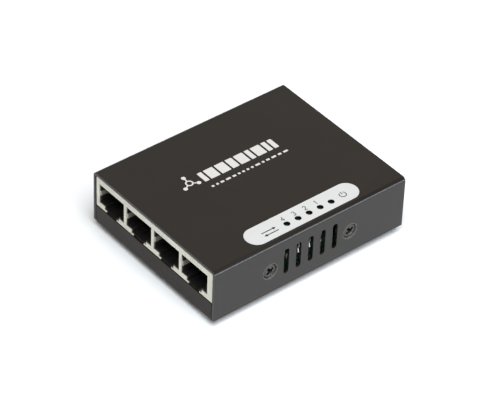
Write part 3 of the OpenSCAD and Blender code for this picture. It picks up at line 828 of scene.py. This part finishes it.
def make_top_print():
    """A network sign, a row of plain bars and a dashed line, in white, reading along +Y."""
    rng = random.Random(21)
    parts = [at(network_mark(6.6), -17.9, 7.9)]
    parts += bars(rng, -13.3, 16.2, (5.5, 10.2), (0.9, 1.7, 2.6, 3.6), 0.75, 0.25, end=17.3)
    parts += bars(rng, -13.2, 17.4, (2.05, 2.85), (0.9, 1.3, 1.8), 0.85, 0.2)
    printed(parts, ON_TOP, (0, 0, TOP), "top_print", "label_vinyl", "print_white")


def make_label_print():
    """The lights' numbers, a traffic sign and a power sign, in black."""
    digits = [at(digit(4 - i, 1.75), LED_Y[i] + 0.25, -23.05) for i in range(4)]
    signs = [at(traffic_symbol(5.6, 1.5), -12.6, -25.4), at(power_symbol(1.15), 16.9, -25.0)]
    printed(digits + signs, ON_TOP, (0, 0, LABEL_TOP), "label_print", "label_vinyl", "print_black")


def make_rear_print():
    """The usual polarity sign beside the power inlet: centre positive."""
    # The panel ends where the whole box ends, so this ink is as thin as it can be.
    w, ink = 0.22, 0.004
    sign = [stroke(arc(0, 0, 0.95, 35, 325, 32), w, ink), patch(ring(0, 0, 0.38, 24), ink),
            stroke([(0.39, 0), (1.98, 0)], w, ink), stroke([(-1.98, 0), (-1.07, 0)], w, ink)]
    for u in (-2.9, 2.9):
        sign.append(stroke(ring(u, 0, 0.8, 32), w, ink, closed=True))
        sign.append(stroke([(u - 0.4, 0), (u + 0.4, 0)], w, ink))
    for s in (-1, 1):
        sign.append(stroke([(2.9, s * 0.12), (2.9, s * 0.4)], w, ink))
    sign = at(merge(sign), -DC_X - 9.5, DC_Z - 0.2)
    printed([sign], ON_REAR, (0, REAR, 0), "rear_print", "label_vinyl", "print_white")


def make_rating_print():
    """A border and plain bars in place of a rating label's wording."""
    low, high = box_mm("rating_label")
    cx, cy = (low.x + high.x) / 2, (low.y + high.y) / 2
    half_w, half_d = (high.x - low.x) / 2, (high.y - low.y) / 2
    edge_w, edge_d = half_w - 1.2, half_d - 1.2
    parts = [stroke(rounded_rect(-edge_w, -edge_d, edge_w, edge_d, 0.8), 0.25, closed=True)]
    start = 3.4 - half_w
    for v, reach, tall in ((5.6, 20, 1.6), (2.4, 26, 0.9), (0.2, 17, 0.9), (-2.0, 23, 0.9), (-4.2, 12, 0.9)):
        parts.append(patch(rect(start, v, start + reach, v + tall)))
    lines = at(merge(parts), cx, -cy)
    printed([lines], UNDERNEATH, (0, 0, low.z), "rating_print", "rating_film", "print_black")


make_cover()
make_cover_screws()
make_led_solder()
make_led_legs()
make_label()
make_top_print()
make_label_print()
make_rear_print()
make_rating_print()


# ---------------------------------------------------------------- carried-over CAD nodes


def dress(name, slot, rounding):
    """Gives a CAD node its finish, joined faces and rounded edges. Its own mesh stays as it is."""
    target = frame["nodes"][name]
    target.data.materials.clear()
    target.data.materials.append(MATERIAL[slot])
    smooth(target)
    weld = target.modifiers.new("joined_points", "WELD")
    weld.merge_threshold = 1e-6
    joined = target.modifiers.new("joined_faces", "DECIMATE")
    joined.decimate_type = "DISSOLVE"
    joined.angle_limit = math.radians(0.5)
    soften(target, rounding * MM)


# Redrawn above, so the CAD node itself isn't shown.
redrawn = {"top_cover", "cover_screws", "led_label", "led_leads"}
# Nodes with walls, steps or leads too thin for the usual rounding.
thin_nodes = {
    "lan_transformer_leads", "switch_chip_leads", "small_chip_leads", "rating_label", "input_capacitor",
    "output_capacitor", "config_memory", "switch_chip", "voltage_regulator", "protection_diode",
    "lan_transformer_1", "lan_transformer_2", "contact_carrier_1", "contact_carrier_2",
    "contact_carrier_3", "contact_carrier_4",
}
for part in frame["record"]["subparts"]:
    if part["node"] not in redrawn:
        dress(part["node"], part["material_slot"], 0.03 if part["node"] in thin_nodes else 0.08)


# ---------------------------------------------------------------- floor, camera and light


def make_floor():
    """Plain pale floor under the feet."""
    bm = bmesh.new()
    bmesh.ops.create_grid(bm, x_segments=8, y_segments=8, size=1.0)
    floor = as_object(bm, "floor")
    floor.data.materials.append(floor_paper("floor_paper"))


def make_camera():
    """Long lens at the photograph's angle: azimuth and elevation about the box, with a slight roll."""
    azimuth, elevation, roll = (math.radians(a) for a in (49.5, 39.6, 2.4))
    distance, lens_mm = 0.842, 192.0
    slide = Vector((0.00036, -0.00107))
    target = Vector((0, 0, (UNDER + TOP) / 2 * MM))
    level = math.cos(elevation)
    back = Vector((math.sin(azimuth) * level, -math.cos(azimuth) * level, math.sin(elevation)))
    right = Vector((0, 0, 1)).cross(back).normalized()
    up = back.cross(right)
    turn, lean = math.cos(roll), math.sin(roll)
    right, up = right * turn + up * lean, up * turn - right * lean
    camera = bpy.data.objects.new("camera", bpy.data.cameras.new("camera"))
    camera.data.lens = lens_mm
    camera.data.sensor_width = 36.0
    camera.data.clip_start, camera.data.clip_end = 0.01, 20.0
    pose = Matrix((right, up, back)).transposed().to_4x4()
    pose.translation = target + back * distance + right * slide.x + up * slide.y
    camera.matrix_world = pose
    bpy.context.scene.collection.objects.link(camera)
    bpy.context.scene.camera = camera


def softbox(name, where, size, power, colour=(1.0, 1.0, 1.0)):
    """Area light that faces the middle of the box and is not seen itself."""
    lamp = bpy.data.objects.new(name, bpy.data.lights.new(name, "AREA"))
    lamp.data.shape = "RECTANGLE"
    lamp.data.size, lamp.data.size_y = size
    lamp.data.energy = power
    lamp.data.color = colour
    lamp.location = where
    lamp.visible_camera = False
    aim = Vector((0, 0, 0.01)) - Vector(where)
    lamp.rotation_euler = aim.to_track_quat("-Z", "Y").to_euler()
    bpy.context.scene.collection.objects.link(lamp)


def make_light():
    """A dim warm room, a pale backdrop that only the camera sees, and three soft lights."""
    world = bpy.data.worlds.new("studio")
    world.use_nodes = True
    tree = world.node_tree
    tree.nodes.clear()
    room = node(tree, "ShaderNodeBackground", {"Color": (1.0, 0.95, 0.89, 1.0), "Strength": 0.22})
    backdrop = node(tree, "ShaderNodeBackground", {"Color": (0.86, 0.88, 0.90, 1.0), "Strength": 1.0})
    seen = node(tree, "ShaderNodeLightPath").outputs["Is Camera Ray"]
    blend = node(tree, "ShaderNodeMixShader", {"Fac": seen})
    output = node(tree, "ShaderNodeOutputWorld")
    tree.links.new(room.outputs[0], blend.inputs[1])
    tree.links.new(backdrop.outputs[0], blend.inputs[2])
    tree.links.new(blend.outputs[0], output.inputs["Surface"])
    bpy.context.scene.world = world
    softbox("key", (0.44, -0.20, 1.05), (0.9, 0.9), 16.8)
    softbox("rim", (1.28, 0.32, 0.18), (1.2, 0.26), 16.5, (0.86, 0.93, 1.0))
    softbox("fill", (-0.76, 0.65, 0.83), (0.9, 0.9), 1.25, (1.0, 0.86, 0.73))


make_floor()
make_camera()
make_light()
bpy.context.scene.view_settings.view_transform = "Standard"
